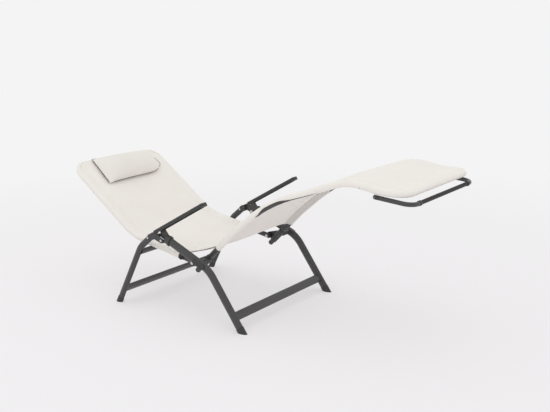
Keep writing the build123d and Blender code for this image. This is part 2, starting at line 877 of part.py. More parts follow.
# Sling
def sling_section(plane, up):
    """Sketch a cross-section of the sling: two sleeves, and the cloth on the up side."""
    with BuildSketch(plane) as section:
        with Locations((-rail_side, 0), (rail_side, 0)):
            Circle(sleeve_radius)
        with Locations((0, up * cloth_height)):
            Rectangle(rail_spread, cloth_thickness)
        with Locations((-rail_side, 0), (rail_side, 0)):
            Circle(sleeve_inner_radius, mode=Mode.SUBTRACT)
    return section.sketch


def end_hem(corner, slope, radius):
    """The end of the sling: a hem round the corners and the crossbar, closed by the cloth."""
    reach = radius + hem_lead
    start = walk(corner, slope + half_turn, reach)
    half = rail_side
    along = (cos(radians(slope)), 0, sin(radians(slope)))
    route = (
        at(start, -half),
        at(corner, -half),
        at(corner, half),
        at(start, half),
    )
    face_up = Plane(origin=at(start, 0), x_dir=along, z_dir=up_normal(slope))
    with BuildPart() as end:
        with BuildLine():
            FilletPolyline(*route, radius=radius)
        with BuildSketch(across(start, slope, -half)):
            Circle(sleeve_radius)
        sweep()
        with BuildSketch(face_up.offset(cloth_height - cloth_thickness / 2)):
            with BuildLine() as rim:
                FilletPolyline((0, -half), (reach, -half), (reach, half), (0, half), radius=radius)
                Line(rim.line @ 1, rim.line @ 0)
            make_face()
        extrude(amount=cloth_thickness)
        with BuildLine():
            FilletPolyline(*route, radius=radius)
        with BuildSketch(across(start, slope, -half)):
            Circle(sleeve_inner_radius)
        sweep(mode=Mode.SUBTRACT)
    return end.part


def up_normal(slope):
    """The upward normal of a cloth that lies at slope, measured from +X."""
    flip = -1 if cos(radians(slope)) < 0 else 1
    return (-flip * sin(radians(slope)), 0, flip * cos(radians(slope)))


def cloth_strip(points):
    """A free strip of cloth through side-view points, between the two rails."""
    with BuildPart() as strip:
        with BuildSketch(Plane.XZ.offset(-flap_half_width)):
            with BuildLine():
                middle = Polyline(*points)
                offset(middle, amount=cloth_thickness / 2, kind=Kind.INTERSECTION)
            make_face()
        extrude(amount=2 * flap_half_width)
    return strip.part


seat_sleeve_start = walk(seat_pivot, up_seat, seat_sleeve_from_pivot)
rest_sleeve_start = walk(rail_tip, thigh_lower_slope, rest_sleeve_from_tip)
seat_cloth_start = walk(seat_sleeve_start, quarter_turn - seat_slope, cloth_height)
rest_cloth_start = walk(rest_sleeve_start, quarter_turn + thigh_lower_slope, cloth_height)
flap_middle = between(seat_cloth_start, rest_cloth_start, flap_knee_share)
flap_knee = (flap_middle[0], flap_middle[1] - flap_knee_drop)
flap_slope_gap = flap_gap / 2 / (rest_cloth_start[0] - flap_knee[0])
seat_flap_end = between(flap_knee, rest_cloth_start, flap_split_share - flap_slope_gap)
rest_flap_start = between(flap_knee, rest_cloth_start, flap_split_share + flap_slope_gap)


def sling_back():
    """Seat and back part of the sling, with its sleeves, head hem and free front flap."""
    before_corner = walk(head_corner, -back_slope, head_corner_radius + hem_lead)
    inside = walk(seat_cloth_start, up_seat, overrun)
    with BuildPart() as sling:
        with BuildLine():
            FilletPolyline(
                at(seat_sleeve_start, 0),
                at(seat_corner, 0),
                at(before_corner, 0),
                radius=seat_bend_radius,
            )
        sweep(sections=sling_section(across(seat_sleeve_start, up_seat, 0), -1))
        add(end_hem(head_corner, up_back, head_corner_radius))
        add(cloth_strip((inside, seat_cloth_start, flap_knee, seat_flap_end)))
    return sling.part


def sling_leg_rest():
    """Leg-rest part of the sling, cut away under the knee bends, with its foot hem."""
    before_corner = walk(foot_corner, half_turn, foot_corner_radius + hem_lead)
    inside = walk(rest_cloth_start, thigh_lower_slope, overrun)
    bends = (rest_sleeve_start, thigh_bend, rest_knee, rest_crest, rest_heel, before_corner)
    radii = (thigh_bend_radius, rest_knee_radius, rest_crest_radius, rest_heel_radius)
    cut_start = walk(rest_knee, half_turn + thigh_upper_slope, knee_cut_before)
    cut_end = walk(rest_knee, calf_slope, knee_cut_after)
    cut_low = walk(cut_start, thigh_upper_slope - quarter_turn, sleeve_radius)
    cut_far = walk(cut_end, calf_slope - quarter_turn, sleeve_radius)
    cut_chord = between(cut_low, cut_far, knee_cut_peak_share)
    chord_slope = degrees(atan2(cut_far[1] - cut_low[1], cut_far[0] - cut_low[0]))
    cut_peak = walk(cut_chord, chord_slope + quarter_turn, knee_cut_rise)
    with BuildPart() as sling:
        with BuildLine():
            FilletPolyline(*[at(point, 0) for point in bends], radius=radii)
        sweep(sections=sling_section(across(rest_sleeve_start, thigh_lower_slope, 0), 1))
        add(end_hem(foot_corner, 0, foot_corner_radius))
        add(cloth_strip((rest_flap_start, rest_cloth_start, inside)))
        for side in (1, -1):
            with BuildSketch(side_view(side, rail_side, rail_side + 2 * sleeve_radius)):
                with BuildLine():
                    ThreePointArc(cut_low, cut_peak, cut_far)
                    Line(cut_far, cut_low)
                make_face()
            extrude(amount=2 * sleeve_radius, mode=Mode.SUBTRACT)
            slot_half = lug_thickness / 2 + lug_slot_gap
            with BuildSketch(side_view(side, rail_side - slot_half, rail_side + slot_half)):
                with Locations(bar_pivot):
                    Rectangle(
                        lug_width + 2 * lug_slot_gap,
                        bar_pivot_drop,
                        align=(Align.CENTER, Align.MIN),
                    )
            extrude(amount=2 * slot_half, mode=Mode.SUBTRACT)
    return sling.part


def head_pillow():
    """Crowned pillow with drawn-in sides, resting on the sling at the head end."""
    middle = walk(head_corner, -back_slope, pillow_from_head)
    pillow_base = cloth_height + cloth_thickness / 2 + seat_gap
    rest = walk(middle, quarter_turn - back_slope, pillow_base)
    along = (cos(radians(-back_slope)), 0, sin(radians(-back_slope)))
    base = Plane(origin=at(rest, pillow_off_middle), x_dir=along, z_dir=up_normal(-back_slope))
    half_length = pillow_length / 2
    half_width = pillow_width / 2
    corners = ((-half_length, -half_width), (half_length, -half_width))
    with BuildPart() as pillow:
        with BuildSketch(base):
            with BuildLine():
                ThreePointArc(corners[0], (0, -half_width + pillow_waist), corners[1])
                ThreePointArc(corners[1], (half_length - pillow_waist, 0), (half_length, half_width))
                ThreePointArc(
                    (half_length, half_width),
                    (0, half_width - pillow_waist),
                    (-half_length, half_width),
                )
                ThreePointArc(
                    (-half_length, half_width),
                    (pillow_waist - half_length, 0),
                    corners[0],
                )
            make_face()
        extrude(amount=pillow_crown)
        for x_dir, half in ((along, half_length), ((0, 1, 0), half_width)):
            normal = (0, 1, 0) if half == half_length else along
            crown = Plane(origin=base.origin, x_dir=x_dir, z_dir=normal)
            up = 1 if crown.y_dir.Z > 0 else -1
            with BuildSketch(crown):
                with BuildLine():
                    near_edge = (-half, up * pillow_edge)
                    far_edge = (half, up * pillow_edge)
                    Polyline(near_edge, (-half, 0), (half, 0), far_edge)
                    ThreePointArc(far_edge, (0, up * pillow_crown), near_edge)
                make_face()
            extrude(amount=pillow_width, both=True, mode=Mode.INTERSECT)
    return pillow.part


def save(part, name):
    """Label a finished piece and write its file."""
    part.label = name
    export_step(part, f"parts/{name}.step")


def group(make):
    """The same piece on both sides, as separate solids of one node."""
    return Compound(children=[make(1), make(-1)])


os.makedirs("parts", exist_ok=True)
front_outlines = [front_leg_body(side, 0) for side in (1, -1)]
rear_outlines = [rear_leg_body(side, 0) for side in (1, -1)]
front_rise = sin(radians(front_lower_slope))
rear_rise = sin(radians(rear_lower_slope))
front_bar_at = walk(front_foot, up_front, front_stretcher_height / front_rise)
low_bar_at = walk(rear_foot, rear_lower_slope, lower_stretcher_height / rear_rise)
high_bar_on = walk(rear_foot, rear_lower_slope, upper_stretcher_height / rear_rise)
high_bar_at = (high_bar_on[0] + upper_stretcher_ahead, high_bar_on[1])
save(
    stretcher(front_bar_at, up_front, front_stretcher_depth, front_stretcher_width, front_outlines),
    "front_stretcher",
)
for bar_name, bar_at, depth in (
    ("rear_lower_stretcher", low_bar_at, lower_stretcher_depth),
    ("rear_upper_stretcher", high_bar_at, upper_stretcher_depth),
):
    save(
        stretcher(bar_at, rear_lower_slope, depth, rear_stretcher_width, rear_outlines),
        bar_name,
    )
for side, side_name in ((1, "left"), (-1, "right")):
    save(front_leg(side), f"front_leg_{side_name}")
    save(
        foot_cap(side, front_foot, up_front, front_leg_depth, front_leg_width),
        f"front_foot_{side_name}",
    )
    save(leg_head(side), f"leg_head_{side_name}")
    save(rear_leg(side), f"rear_leg_{side_name}")
    save(
        foot_cap(side, rear_foot, rear_lower_slope, rear_leg_depth, rear_leg_width),
        f"rear_foot_{side_name}",
    )
    save(knuckle(side), f"knuckle_{side_name}")
    save(armrest(side), f"armrest_{side_name}")
    save(armrest_front_cap(side), f"armrest_front_cap_{side_name}")
    save(armrest_rear_cap(side), f"armrest_rear_cap_{side_name}")
    save(back_rail(side), f"back_rail_{side_name}")
    save(leg_rail(side), f"leg_rail_{side_name}")
    save(foot_bar_arm(side), f"foot_bar_arm_{side_name}")
for name, make in (
    ("hinge_bolts", hinge_bolt),
    ("leg_stops", leg_stop),
    ("leg_pads", leg_pad),
    ("rest_pins", rest_pin),
    ("knuckle_rivets", knuckle_rivet),
    ("armrest_pins", armrest_pin),
    ("seat_rail_plugs", seat_rail_plug),
    ("seat_stops", seat_stop),
    ("rail_knobs", rail_knob),
    ("seat_bolts", seat_bolt),
    ("foot_bar_lugs", bar_lug),
    ("foot_bar_forks", foot_bar_fork),
    ("foot_bar_pins", foot_bar_pin),
    ("foot_bar_collars", foot_bar_collar),
):
    save(group(make), name)
right_bracket = rest_bracket(-1)
save(mirror(right_bracket, about=Plane.XZ), "rest_bracket_left")
save(right_bracket, "rest_bracket_right")
save(crossbar(head_corner, head_corner_radius), "head_crossbar")
save(crossbar(foot_corner, foot_corner_radius), "foot_crossbar")
save(foot_bar_grip(), "foot_bar_grip")
save(sling_back(), "sling_back")
save(sling_leg_rest(), "sling_leg_rest")
save(head_pillow(), "head_pillow")
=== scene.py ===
"""Folding sun lounger: the sling, the pillow, the finishes and the studio round the CAD frame.

Metres. +X points to the foot end, +Y to the sitter's left, +Z up; the floor is z = 0.
"""

import json
from math import acos, atan2, cos, hypot, pi, radians, sin, sqrt, tan

import bpy
import numpy as np
from mathutils import Matrix, Vector


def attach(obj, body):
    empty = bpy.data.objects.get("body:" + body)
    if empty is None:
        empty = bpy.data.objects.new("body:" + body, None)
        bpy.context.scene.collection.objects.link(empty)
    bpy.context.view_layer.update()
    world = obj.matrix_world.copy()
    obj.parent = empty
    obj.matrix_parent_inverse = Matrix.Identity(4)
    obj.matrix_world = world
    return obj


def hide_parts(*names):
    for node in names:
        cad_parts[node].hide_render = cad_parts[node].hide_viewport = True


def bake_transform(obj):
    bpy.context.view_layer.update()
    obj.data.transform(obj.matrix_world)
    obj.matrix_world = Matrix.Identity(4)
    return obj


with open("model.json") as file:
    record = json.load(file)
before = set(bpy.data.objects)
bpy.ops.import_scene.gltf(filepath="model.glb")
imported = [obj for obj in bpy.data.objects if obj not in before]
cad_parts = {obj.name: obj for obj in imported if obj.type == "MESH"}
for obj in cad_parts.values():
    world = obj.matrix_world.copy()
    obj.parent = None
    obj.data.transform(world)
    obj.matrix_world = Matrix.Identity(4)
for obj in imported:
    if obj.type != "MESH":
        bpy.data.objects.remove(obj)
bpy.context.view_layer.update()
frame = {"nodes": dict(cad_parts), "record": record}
scene = bpy.context.scene

# Side view of the lounger, as in the CAD: joints as (x, z), slopes in degrees to the floor
rest_pivot = (-0.06045, 0.24219)
seat_pivot_back = 0.072
seat_pivot_drop = 0.020
tip_back = 0.0557
tip_drop = 0.0496
seat_slope = 10.6
seat_length = 0.335
seat_bend_radius = 0.250
back_slope = 36.7
back_length = 0.424
thigh_lower_slope = 45.5
thigh_lower_length = 0.231
thigh_upper_slope = 40.8
thigh_upper_length = 0.220
calf_slope = 20.15
calf_length = 0.368
heel_slope = 9.2
heel_length = 0.1276
toe_length = 0.097
rest_radii = [0.300, 0.700, 0.210, 0.380]
rail_side = 0.250
head_radius = 0.060
foot_radius = 0.045
seat_sleeve_from_pivot = 0.076
rest_sleeve_from_tip = 0.147

# The sling's cloth: where it rides on the tubes, its sleeves, and painted shade on their two-layer
# strips
cloth_ride = 0.0122
cloth_thickness = 0.0012
tube = cloth_ride
sleeve_reach = 0.038
sleeve_bend = radians(115)
strip_start_in = 0.0052
strip_rise = 0.0215
seam_below = 0.0016
seam_half_width = 0.0022
seam_depth = 0.0009
seam_tolerance = 0.0004
# Painted shade on those strips: past this distance across, the cloth's colour is darkened, fading in
# over the next distance, by the share after that
painted_shade_from = rail_side + 0.041
painted_shade_fade = 0.006
painted_shade_share = 0.78
binding_radius = 0.0011
mouth_seam_below = 0.0022
free_edge_points = 40
free_edge_beside = 0.0005

# The binding round a sleeve's mouth: how far it turns with the tube and its steps, in degrees
mouth_turn, mouth_step = 205, 8

# The sling's sag and folds: heights, with their places and widths across and along it
middle_hang = 0.0045
end_reach = 0.12
valley_hang = 0.006
valley_reach = 0.05
dip_depth, dip_inside, dip_width = 0.0040, 0.030, 0.014
crease_height, crease_inside, crease_width = 0.0035, 0.048, 0.013
fold_height, fold_waves, fold_lean, fold_reach = 0.0022, 62, 5, 0.075
corner_height, corner_waves, corner_lean = 0.0016, 55, 38
corner_place, corner_reach = 0.43, 0.12
free_edge_bow = 0.011
free_edge_in = 0.001
valley_pull = 0.014
valley_points = 40

# Where the sleeve's upper and lower cloth meet, counted down round the tube from its outermost
# line, and how they part under the leg rest's knee, with places counted from the start of the
# leg rest's sleeve
edge_line = 0.011
knee_from_rest_start = 0.236
knee_to_rest_start = 0.555
knee_open_width = 0.045
knee_upper_rise = 0.013
knee_rise_run = 0.070
knee_wide_until, knee_wide_fade, knee_wide_share = 0.125, 0.080, 0.72
knee_slim_until, knee_slim_fade, knee_slim_share = 0.180, 0.139, 0.28
knee_lower_power = 0.7

# Steps of the sling's mesh, with the corners' in degrees
line_step = 0.004
station_step = 0.009
station_beside = 0.0004
knee_stations = 60
valley_stations = 22
before_knee, after_knee = 0.003, 0.006
corner_step = 6
inner_columns, inner_columns_end = 15, 0.006
outer_columns, outer_columns_start = 5, 0.008
upper_parts = 8
lower_parts = 12
weld_distance = 0.00012
sliver = 0.00005

# The sling's screws: x of each pair, and how far round the tube they sit, in degrees
back_screw_x = -0.6665
rest_screw_x = 0.612
screw_turn = 120
screw_radius = 0.0034
screw_flatness = 0.55


def walk(start, angle, length):
    """The side-view point reached from start by going length at angle."""
    return (start[0] + length * cos(radians(angle)), start[1] + length * sin(radians(angle)))


seat_pivot = (rest_pivot[0] - seat_pivot_back, rest_pivot[1] - seat_pivot_drop)
rail_tip = (rest_pivot[0] - tip_back, rest_pivot[1] - tip_drop)
seat_corner = walk(seat_pivot, 180 - seat_slope, seat_length)
head_corner = walk(seat_corner, 180 - back_slope, back_length)
thigh_bend = walk(rail_tip, thigh_lower_slope, thigh_lower_length)
rest_knee = walk(thigh_bend, thigh_upper_slope, thigh_upper_length)
rest_crest = walk(rest_knee, calf_slope, calf_length)
rest_heel = walk(rest_crest, -heel_slope, heel_length)
foot_corner = walk(rest_heel, 0, toe_length)
seat_sleeve_start = walk(seat_pivot, 180 - seat_slope, seat_sleeve_from_pivot)
rest_sleeve_start = walk(rail_tip, thigh_lower_slope, rest_sleeve_from_tip)


def deselect():
    """Clear the selection, so that an operator acts on the new piece alone."""
    for obj in bpy.context.selected_objects:
        obj.select_set(False)


def only(obj):
    """Select obj alone and make it active."""
    deselect()
    obj.select_set(True)
    bpy.context.view_layer.objects.active = obj


# Materials
def surface(name, colour, roughness, metallic=0.0):
    """A plain principled material, with its shader node."""
    material = bpy.data.materials.new(name)
    material.use_nodes = True
    shader = material.node_tree.nodes["Principled BSDF"]
    shader.inputs["Base Color"].default_value = (*colour, 1)
    shader.inputs["Roughness"].default_value = roughness
    shader.inputs["Metallic"].default_value = metallic
    return material, shader


def grain(material, shader, scale, strength, distance):
    """A fine bump on object coordinates, as on powder coat and moulded plastic."""
    nodes, links = material.node_tree.nodes, material.node_tree.links
    place = nodes.new("ShaderNodeTexCoord")
    noise = nodes.new("ShaderNodeTexNoise")
    noise.inputs["Scale"].default_value = scale
    noise.inputs["Detail"].default_value = 3
    bump = nodes.new("ShaderNodeBump")
    bump.inputs["Strength"].default_value = strength
    bump.inputs["Distance"].default_value = distance
    links.new(place.outputs["Object"], noise.inputs["Vector"])
    links.new(noise.outputs["Fac"], bump.inputs["Height"])
    links.new(bump.outputs["Normal"], shader.inputs["Normal"])


def powder_coat():
    """Dark grey, half glossy coat of the tubes."""
    material, shader = surface("powder_coat", (0.050, 0.049, 0.050), 0.34)
    grain(material, shader, 900, 0.25, 0.0004)
    return material


def cast_paint():
    """The same grey on the castings, with a coarser grain."""
    material, shader = surface("cast_paint", (0.046, 0.045, 0.046), 0.42)
    grain(material, shader, 500, 0.35, 0.0006)
    return material


def moulded_plastic():
    """Nearly black plastic of the feet, caps and armrests."""
    material, shader = surface("moulded_plastic", (0.030, 0.030, 0.031), 0.46)
    grain(material, shader, 1400, 0.3, 0.0003)
    return material


def bar_grip():
    """Dark, matt grip of the foot bar."""
    material, shader = surface("bar_grip", (0.022, 0.020, 0.019), 0.6)
    shader.inputs["Specular IOR Level"].default_value = 0.3
    grain(material, shader, 600, 0.3, 0.0004)
    return material


def zinc_steel():
    """Bright fasteners."""
    material, shader = surface("zinc_steel", (0.62, 0.62, 0.63), 0.28, 1.0)
    grain(material, shader, 700, 0.1, 0.0002)
    return material


def stop_rubber():
    """Black rubber of the seat's stops."""
    material, shader = surface("stop_rubber", (0.020, 0.020, 0.020), 0.7)
    grain(material, shader, 300, 0.2, 0.0004)
    return material


def binding_cloth():
    """Dark tape at the sling's free edges and the pillow's seam."""
    material, shader = surface("binding_cloth", (0.075, 0.072, 0.068), 0.8)
    grain(material, shader, 800, 0.5, 0.0004)
    return material


def woven_cloth(name, colour, shade, thread):
    """Cloth woven of thick and thin yarns along the piece's own UV map, in metres.

    Under the sleeves, past a set distance across the map, it is darker: painted shade.
    """
    material, shader = surface(name, colour, 0.82)
    nodes, links = material.node_tree.nodes, material.node_tree.links
    place = nodes.new("ShaderNodeUVMap")
    place.uv_map = "cloth"
    waves = []
    for turn in (0, pi / 2):
        mapping = nodes.new("ShaderNodeMapping")
        mapping.inputs["Rotation"].default_value = (0, 0, turn)
        wave = nodes.new("ShaderNodeTexWave")
        wave.inputs["Scale"].default_value = 0.314 / thread
        wave.inputs["Distortion"].default_value = 0.6
        wave.inputs["Detail"].default_value = 1
        links.new(place.outputs["UV"], mapping.inputs["Vector"])
        links.new(mapping.outputs["Vector"], wave.inputs["Vector"])
        waves.append(wave)
    weave = nodes.new("ShaderNodeMath")
    weave.operation = "ADD"
    links.new(waves[0].outputs["Fac"], weave.inputs[0])
    links.new(waves[1].outputs["Fac"], weave.inputs[1])
    bump = nodes.new("ShaderNodeBump")
    bump.inputs["Strength"].default_value = 0.22
    bump.inputs["Distance"].default_value = 0.0003
    links.new(weave.outputs["Value"], bump.inputs["Height"])
    links.new(bump.outputs["Normal"], shader.inputs["Normal"])
    slub = nodes.new("ShaderNodeTexNoise")
    slub.inputs["Scale"].default_value = 9
    slub.inputs["Detail"].default_value = 4
    links.new(place.outputs["UV"], slub.inputs["Vector"])
    tone = nodes.new("ShaderNodeMix")
    tone.data_type = "RGBA"
    tone.inputs["A"].default_value = (*colour, 1)
    tone.inputs["B"].default_value = (*shade, 1)
    links.new(slub.outputs["Fac"], tone.inputs["Factor"])
    # Painted shade: the colour is darkened past a set distance across the map, on the sleeves'
    # two-layer strips
    parts = nodes.new("ShaderNodeSeparateXYZ")
    links.new(place.outputs["UV"], parts.inputs["Vector"])
    beside = nodes.new("ShaderNodeMath")
    beside.operation = "ABSOLUTE"
    links.new(parts.outputs["Y"], beside.inputs[0])
    painted_shade_range = nodes.new("ShaderNodeMapRange")
    painted_shade_range.inputs["From Min"].default_value = painted_shade_from
    painted_shade_range.inputs["From Max"].default_value = painted_shade_from + painted_shade_fade
    links.new(beside.outputs["Value"], painted_shade_range.inputs["Value"])
    painted_shade_mix = nodes.new("ShaderNodeMix")
    painted_shade_mix.data_type = "RGBA"
    painted_shade_mix.inputs["B"].default_value = (*(painted_shade_share * part for part in shade), 1)
    links.new(painted_shade_range.outputs["Result"], painted_shade_mix.inputs["Factor"])
    links.new(tone.outputs["Result"], painted_shade_mix.inputs["A"])
    links.new(painted_shade_mix.outputs["Result"], shader.inputs["Base Color"])
    return material


coat = powder_coat()
cast = cast_paint()
plastic = moulded_plastic()
steel = zinc_steel()
rubber = stop_rubber()
binding = binding_cloth()
sling_cloth = woven_cloth("sling_cloth", (0.88, 0.845, 0.80), (0.825, 0.785, 0.74), 0.0016)
pillow_cloth = woven_cloth("pillow_cloth", (0.84, 0.805, 0.76), (0.78, 0.745, 0.70), 0.0016)
finishes = {
    "frame_paint": coat,
    "cast_metal": cast,
    "dark_plastic": plastic,
    "bright_steel": steel,
    "stop_rubber": rubber,
    "sling_cloth": sling_cloth,
    "pillow_cloth": pillow_cloth,
}
for row in frame["record"]["subparts"]:
    node = frame["nodes"][row["node"]]
    node.data.materials.clear()
    node.data.materials.append(finishes[row["material_slot"]])
frame["nodes"]["foot_bar_grip"].data.materials[0] = bar_grip()
frame["nodes"]["armrest_pins"].data.materials[0] = coat


# The sling's own coordinates: s along the rails from the head crossbar, y across, h above the rails
def rounded(points, radii, step):
    """Points along a side-view route whose corners are arcs of the given radii."""
    line = [points[0]]
    for before, corner, after, radius in zip(points, points[1:], points[2:], radii):
        a = Vector(before) - Vector(corner)
        b = Vector(after) - Vector(corner)
        a.normalize()
        b.normalize()
        half = acos(max(-1, min(1, a.dot(b)))) / 2
        reach = radius / tan(half)
        centre = Vector(corner) + (a + b).normalized() * radius / sin(half)
        start = Vector(corner) + a * reach
        end = Vector(corner) + b * reach
        first = atan2(start[1] - centre[1], start[0] - centre[0])
        turn = atan2(end[1] - centre[1], end[0] - centre[0]) - first
        turn = (turn + pi) % (2 * pi) - pi
        count = max(3, int(abs(turn) * radius / step))
        for k in range(count + 1):
            angle = first + turn * k / count
            line.append((centre[0] + radius * cos(angle), centre[1] + radius * sin(angle)))
    line.append(points[-1])
    dense = [line[0]]
    for start, end in zip(line, line[1:]):
        count = max(1, int(hypot(end[0] - start[0], end[1] - start[1]) / step))
        for k in range(1, count + 1):
            dense.append(tuple(near + (far - near) * k / count for near, far in zip(start, end)))
    return np.array(dense)


def lifted(line, lift):
    """A side-view line moved to its upper side, where up is to the left of its way towards +X."""
    way = np.gradient(line, axis=0)
    way /= np.linalg.norm(way, axis=1)[:, None]
    return line + lift * np.column_stack((-way[:, 1], way[:, 0]))


def free_span(start, start_angle, end, end_angle, pull, count):
    """The cloth's own curve between the two frames."""
    a, d = Vector(start), Vector(end)
    b = a + pull * Vector((cos(start_angle), sin(start_angle)))
    c = d - pull * Vector((cos(end_angle), sin(end_angle)))
    share = np.linspace(0, 1, count)[1:-1, None]
    return (
        (1 - share) ** 3 * np.array(a)
        + 3 * (1 - share) ** 2 * share * np.array(b)
        + 3 * (1 - share) * share**2 * np.array(c)
        + share**3 * np.array(d)
    )


back_line = rounded([head_corner, seat_corner, seat_sleeve_start], [seat_bend_radius], line_step)
rest_line = rounded(
    [rest_sleeve_start, thigh_bend, rest_knee, rest_crest, rest_heel, foot_corner],
    rest_radii,
    line_step,
)
back_cloth = lifted(back_line, cloth_ride)
rest_cloth = lifted(rest_line, cloth_ride)
valley = free_span(
    back_cloth[-1],
    radians(-seat_slope),
    rest_cloth[0],
    radians(thigh_lower_slope),
    valley_pull,
    valley_points,
)
cloth_line = np.vstack((back_cloth, valley, rest_cloth))
runs = np.linalg.norm(np.diff(cloth_line, axis=0), axis=1)
cloth_run = np.concatenate(([0], np.cumsum(runs)))
cloth_length = cloth_run[-1]
seat_end = cloth_run[len(back_cloth) - 1]
rest_start = cloth_run[len(back_cloth) + len(valley)]
cloth_way = np.gradient(cloth_line, axis=0)
cloth_way /= np.linalg.norm(cloth_way, axis=1)[:, None]


def cloth_point(s, y, h):
    """A point of space from the sling's coordinates; h is counted from the rails' middle."""
    inside = min(max(s, 0), cloth_length)
    x = np.interp(inside, cloth_run, cloth_line[:, 0])
    z = np.interp(inside, cloth_run, cloth_line[:, 1])
    way_x = np.interp(inside, cloth_run, cloth_way[:, 0])
    way_z = np.interp(inside, cloth_run, cloth_way[:, 1])
    size = hypot(way_x, way_z)
    way_x, way_z = way_x / size, way_z / size
    over = s - inside
    lift = h - cloth_ride
    return (x + over * way_x - lift * way_z, y, z + over * way_z + lift * way_x)


knee_open_start = rest_start + knee_from_rest_start
knee_open_end = rest_start + knee_to_rest_start


def corner_half(s):
    """Distance of the frame's tube from the middle at s, round the corners."""
    if s < head_radius:
        radius, gone = head_radius, head_radius - s
    elif s > cloth_length - foot_radius:
        radius, gone = foot_radius, s - cloth_length + foot_radius
    else:
        return rail_side
    return rail_side - radius + sqrt(max(radius * radius - gone * gone, 0))


def ease(share):
    """A smooth step from 0 to 1."""
    share = min(max(share, 0), 1)
    return share * share * (3 - 2 * share)


def inset(s):
    """How far the free edge of the cloth lies inside the middle of the tube, between the frames."""
    if seat_end < s < rest_start:
        share = (s - seat_end) / (rest_start - seat_end)
        return free_edge_in + free_edge_bow * sin(pi * share)
    return 0


def knee_opening(s):
    """How far the sleeve stands open under the knee bend: 0 closed, 1 widest."""
    rise = ease((s - knee_open_start) / knee_rise_run)
    wide = 1 - ease((s - knee_open_start - knee_wide_until) / knee_wide_fade)
    slim = 1 - ease((s - knee_open_start - knee_slim_until) / knee_slim_fade)
    return rise * (knee_wide_share * wide + knee_slim_share * slim)


def sleeve_edges(s):
    """Where the upper cloth ends and the lower one starts, counted down from the outermost line."""
    opening = knee_opening(s)
    upper = edge_line - knee_upper_rise * opening
    return upper, upper + knee_open_width * opening**knee_lower_power


def hump(offset, width):
    """A soft hump of height 1 where offset is 0."""
    return np.exp(-((offset / width) ** 2))


def sag(s, y):
    """How much the stretched cloth hangs below its straight line across, with its soft folds."""
    across = 1 - min(abs(y) / rail_side, 1) ** 2
    ends = min(s, cloth_length - s) / end_reach
    hang = middle_hang * across * min(max(ends, 0), 1)
    valley_middle = (seat_end + rest_start) / 2
    share = (s - seat_end + valley_reach) / (rest_start - seat_end + 2 * valley_reach)
    in_valley = sin(pi * min(max(share, 0), 1)) ** 2
    hang += valley_hang * across * in_valley
    beside = dip_depth * hump(abs(y) - rail_side + dip_inside, dip_width) * min(max(ends * 3, 0), 1)
    fold = fold_height * sin((s - valley_middle) * fold_waves + y * fold_lean)
    fold *= hump(s - valley_middle, fold_reach)
    corner = corner_height * sin(s * corner_waves - abs(y) * corner_lean)
    corner *= hump(s - corner_place, corner_reach)
    corner *= 1 - across
    crease = crease_height * hump(abs(y) - rail_side + crease_inside, crease_width) * in_valley
    return hang + beside - crease + (fold + corner) * across


def stations():
    """Places along s for the sling's cross-sections, closer at the corners, cuts and ends."""
    places = [head_radius * (1 - sin(radians(a))) for a in range(90, 0, -corner_step)]
    places += list(np.arange(head_radius, seat_end, station_step))
    places += [seat_end, seat_end + station_beside]
    places += list(np.linspace(seat_end, rest_start, valley_stations)[1:-1])
    places += [rest_start - station_beside, rest_start]
    places += list(np.arange(rest_start + station_step, knee_open_start - before_knee, station_step))
    places += list(np.linspace(knee_open_start, knee_open_end, knee_stations))
    places += list(np.arange(knee_open_end + after_knee, cloth_length - foot_radius, station_step))
    corner = range(0, 91, corner_step)
    places += [cloth_length - foot_radius * (1 - sin(radians(a))) for a in corner]
    return sorted(places)


def top_columns(half):
    """Places across the top cloth, out to its edge, with lines at the sleeve seams."""
    seam = rail_side - sleeve_reach
    lines = list(np.linspace(0, seam - inner_columns_end, inner_columns))
    lines += [seam - seam_half_width, seam, seam + seam_half_width]
    lines += list(np.linspace(seam + outer_columns_start, rail_side, outer_columns))
    lines = [line * half / rail_side if half < rail_side else line for line in lines]
    return [-line for line in reversed(lines[1:])] + lines


def seam_dent(y, half):
    """The stitched seam draws the top cloth down a little."""
    seam = (rail_side - sleeve_reach) * min(half / rail_side, 1)
    return seam_depth if abs(abs(y) - seam) < seam_tolerance else 0


